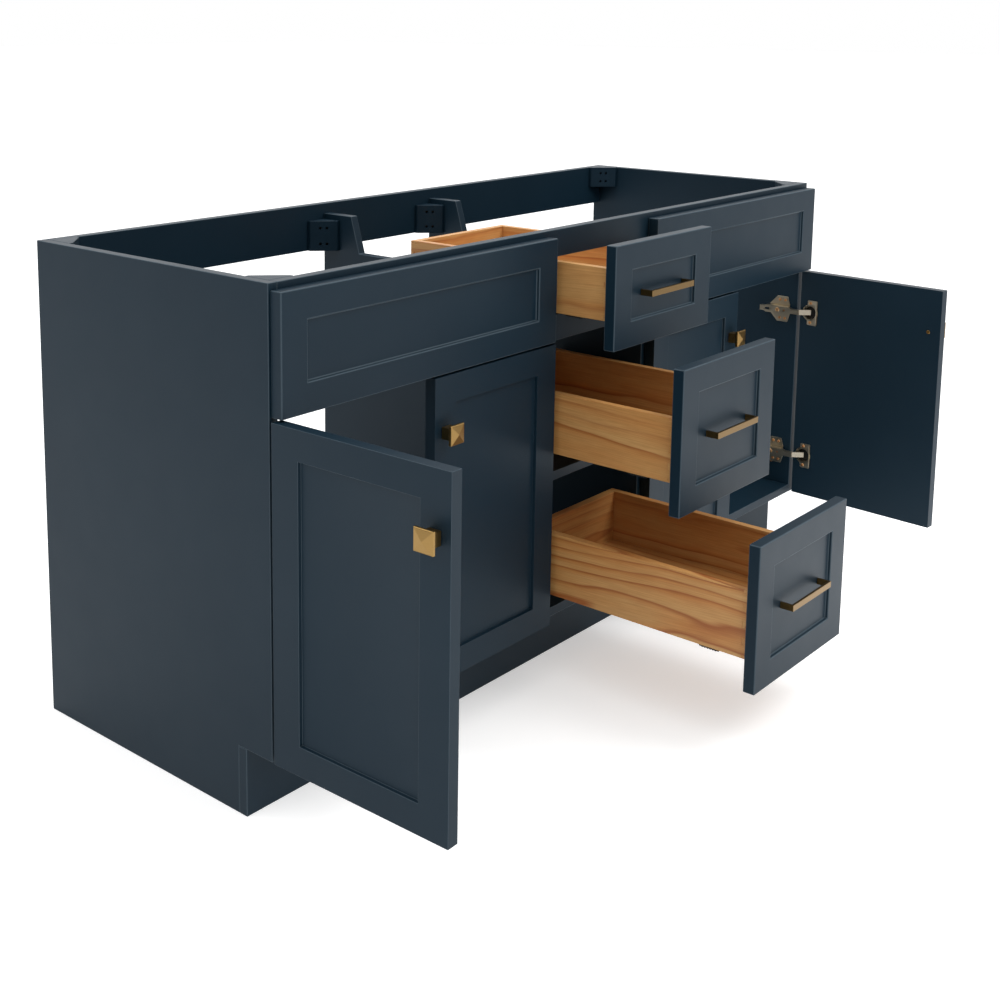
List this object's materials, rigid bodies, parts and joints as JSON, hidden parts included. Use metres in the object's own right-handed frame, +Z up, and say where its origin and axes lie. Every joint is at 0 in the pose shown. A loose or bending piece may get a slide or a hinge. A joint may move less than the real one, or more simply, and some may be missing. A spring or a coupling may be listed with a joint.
{
  "type": "bathroom vanity cabinet",
  "caption": "Free-standing painted bathroom vanity base with hinged frame doors, sliding dovetailed drawers and brass handles, open at the top and the back.",
  "frame": {"origin": "on the floor, in the wall plane (the carcass's back), at mid-width", "axes": "+X to the right as seen from the front, +Y towards the wall, +Z up; the fronts face -Y"},
  "size_m": [1.5592, 0.9188, 0.762],
  "materials": {
    "navy_paint": "satin navy paint over board",
    "pine": "clear-coated pine with visible grain",
    "brushed_brass": "brushed",
    "hinge_nickel": "nickel plated",
    "runner_zinc": "zinc plated sheet"
  },
  "bodies": {
    "carcass": {"left_side_panel": "navy_paint", "right_side_panel": "navy_paint", "left_partition": "navy_paint", "right_partition": "navy_paint", "bottom_panel": "navy_paint", "toe_kick_board": "navy_paint", "back_base_rail": "navy_paint", "back_top_rail": "navy_paint", "front_top_rail": "navy_paint", "front_mid_rail": "navy_paint", "drawer_rail": "navy_paint", "left_fascia": "navy_paint", "right_fascia": "navy_paint", "left_outer_upper_hinge_arm": "hinge_nickel", "left_outer_lower_hinge_arm": "hinge_nickel", "left_inner_upper_hinge_arm": "hinge_nickel", "left_inner_lower_hinge_arm": "hinge_nickel", "right_inner_upper_hinge_arm": "hinge_nickel", "right_inner_lower_hinge_arm": "hinge_nickel", "right_outer_upper_hinge_arm": "hinge_nickel", "right_outer_lower_hinge_arm": "hinge_nickel", "top_left_runner": "runner_zinc", "top_right_runner": "runner_zinc", "middle_left_runner": "runner_zinc", "middle_right_runner": "runner_zinc", "bottom_left_runner": "runner_zinc", "bottom_right_runner": "runner_zinc"},
    "left_outer_door_assembly": {"left_outer_door": "navy_paint", "left_outer_knob": "brushed_brass", "left_outer_upper_hinge_cup": "hinge_nickel", "left_outer_lower_hinge_cup": "hinge_nickel"},
    "left_inner_door_assembly": {"left_inner_door": "navy_paint", "left_inner_knob": "brushed_brass", "left_inner_upper_hinge_cup": "hinge_nickel", "left_inner_lower_hinge_cup": "hinge_nickel"},
    "right_inner_door_assembly": {"right_inner_door": "navy_paint", "right_inner_knob": "brushed_brass", "right_inner_upper_hinge_cup": "hinge_nickel", "right_inner_lower_hinge_cup": "hinge_nickel"},
    "right_outer_door_assembly": {"right_outer_door": "navy_paint", "right_outer_knob": "brushed_brass", "right_outer_upper_hinge_cup": "hinge_nickel", "right_outer_lower_hinge_cup": "hinge_nickel"},
    "top_drawer_assembly": {"top_drawer_box": "pine", "top_drawer_front": "navy_paint", "top_drawer_pull": "brushed_brass"},
    "top_drawer_sliders": {"top_left_slider": "runner_zinc", "top_right_slider": "runner_zinc"},
    "middle_drawer_assembly": {"middle_drawer_box": "pine", "middle_drawer_front": "navy_paint", "middle_drawer_pull": "brushed_brass"},
    "middle_drawer_sliders": {"middle_left_slider": "runner_zinc", "middle_right_slider": "runner_zinc"},
    "bottom_drawer_assembly": {"bottom_drawer_box": "pine", "bottom_drawer_front": "navy_paint", "bottom_drawer_pull": "brushed_brass"},
    "bottom_drawer_sliders": {"bottom_left_slider": "runner_zinc", "bottom_right_slider": "runner_zinc"}
  },
  "joints": [
    {"name": "left_outer_door_hinge", "type": "hinge", "parent": "carcass", "child": "left_outer_door_assembly", "pos_m": [-0.7552, -0.5233, 0.34115], "axis": [0, 0, -1], "range_deg": [-89.1, 20.9]},
    {"name": "left_inner_door_hinge", "type": "hinge", "parent": "carcass", "child": "left_inner_door_assembly", "pos_m": [-0.1555, -0.5254, 0.34115], "axis": [0, 0, 1], "range_deg": [0, 86]},
    {"name": "right_inner_door_hinge", "type": "hinge", "parent": "carcass", "child": "right_inner_door_assembly", "pos_m": [0.1555, -0.5254, 0.34115], "axis": [0, 0, -1], "range_deg": [0, 86]},
    {"name": "right_outer_door_hinge", "type": "hinge", "parent": "carcass", "child": "right_outer_door_assembly", "pos_m": [0.7552, -0.5233, 0.34115], "axis": [0, 0, 1], "range_deg": [-86, 24]},
    {"name": "top_drawer_slide", "type": "slide", "parent": "carcass", "child": "top_drawer_assembly", "axis": [0, -1, 0], "range_m": [-0.106, 0.284]},
    {"name": "top_slider_slide", "type": "slide", "parent": "carcass", "child": "top_drawer_sliders", "axis": [0, -1, 0], "range_m": [-0.053, 0.142]},
    {"name": "middle_drawer_slide", "type": "slide", "parent": "carcass", "child": "middle_drawer_assembly", "axis": [0, -1, 0], "range_m": [-0.2316, 0.1584]},
    {"name": "middle_slider_slide", "type": "slide", "parent": "carcass", "child": "middle_drawer_sliders", "axis": [0, -1, 0], "range_m": [-0.1158, 0.0792]},
    {"name": "bottom_drawer_slide", "type": "slide", "parent": "carcass", "child": "bottom_drawer_assembly", "axis": [0, -1, 0], "range_m": [-0.3686, 0.0214]},
    {"name": "bottom_slider_slide", "type": "slide", "parent": "carcass", "child": "bottom_drawer_sliders", "axis": [0, -1, 0], "range_m": [-0.1843, 0.0107]}
  ],
  "couplings": [
    {"joint": "top_slider_slide", "follows": "top_drawer_slide", "ratio": 0.5},
    {"joint": "middle_slider_slide", "follows": "middle_drawer_slide", "ratio": 0.5},
    {"joint": "bottom_slider_slide", "follows": "bottom_drawer_slide", "ratio": 0.5}
  ]
}
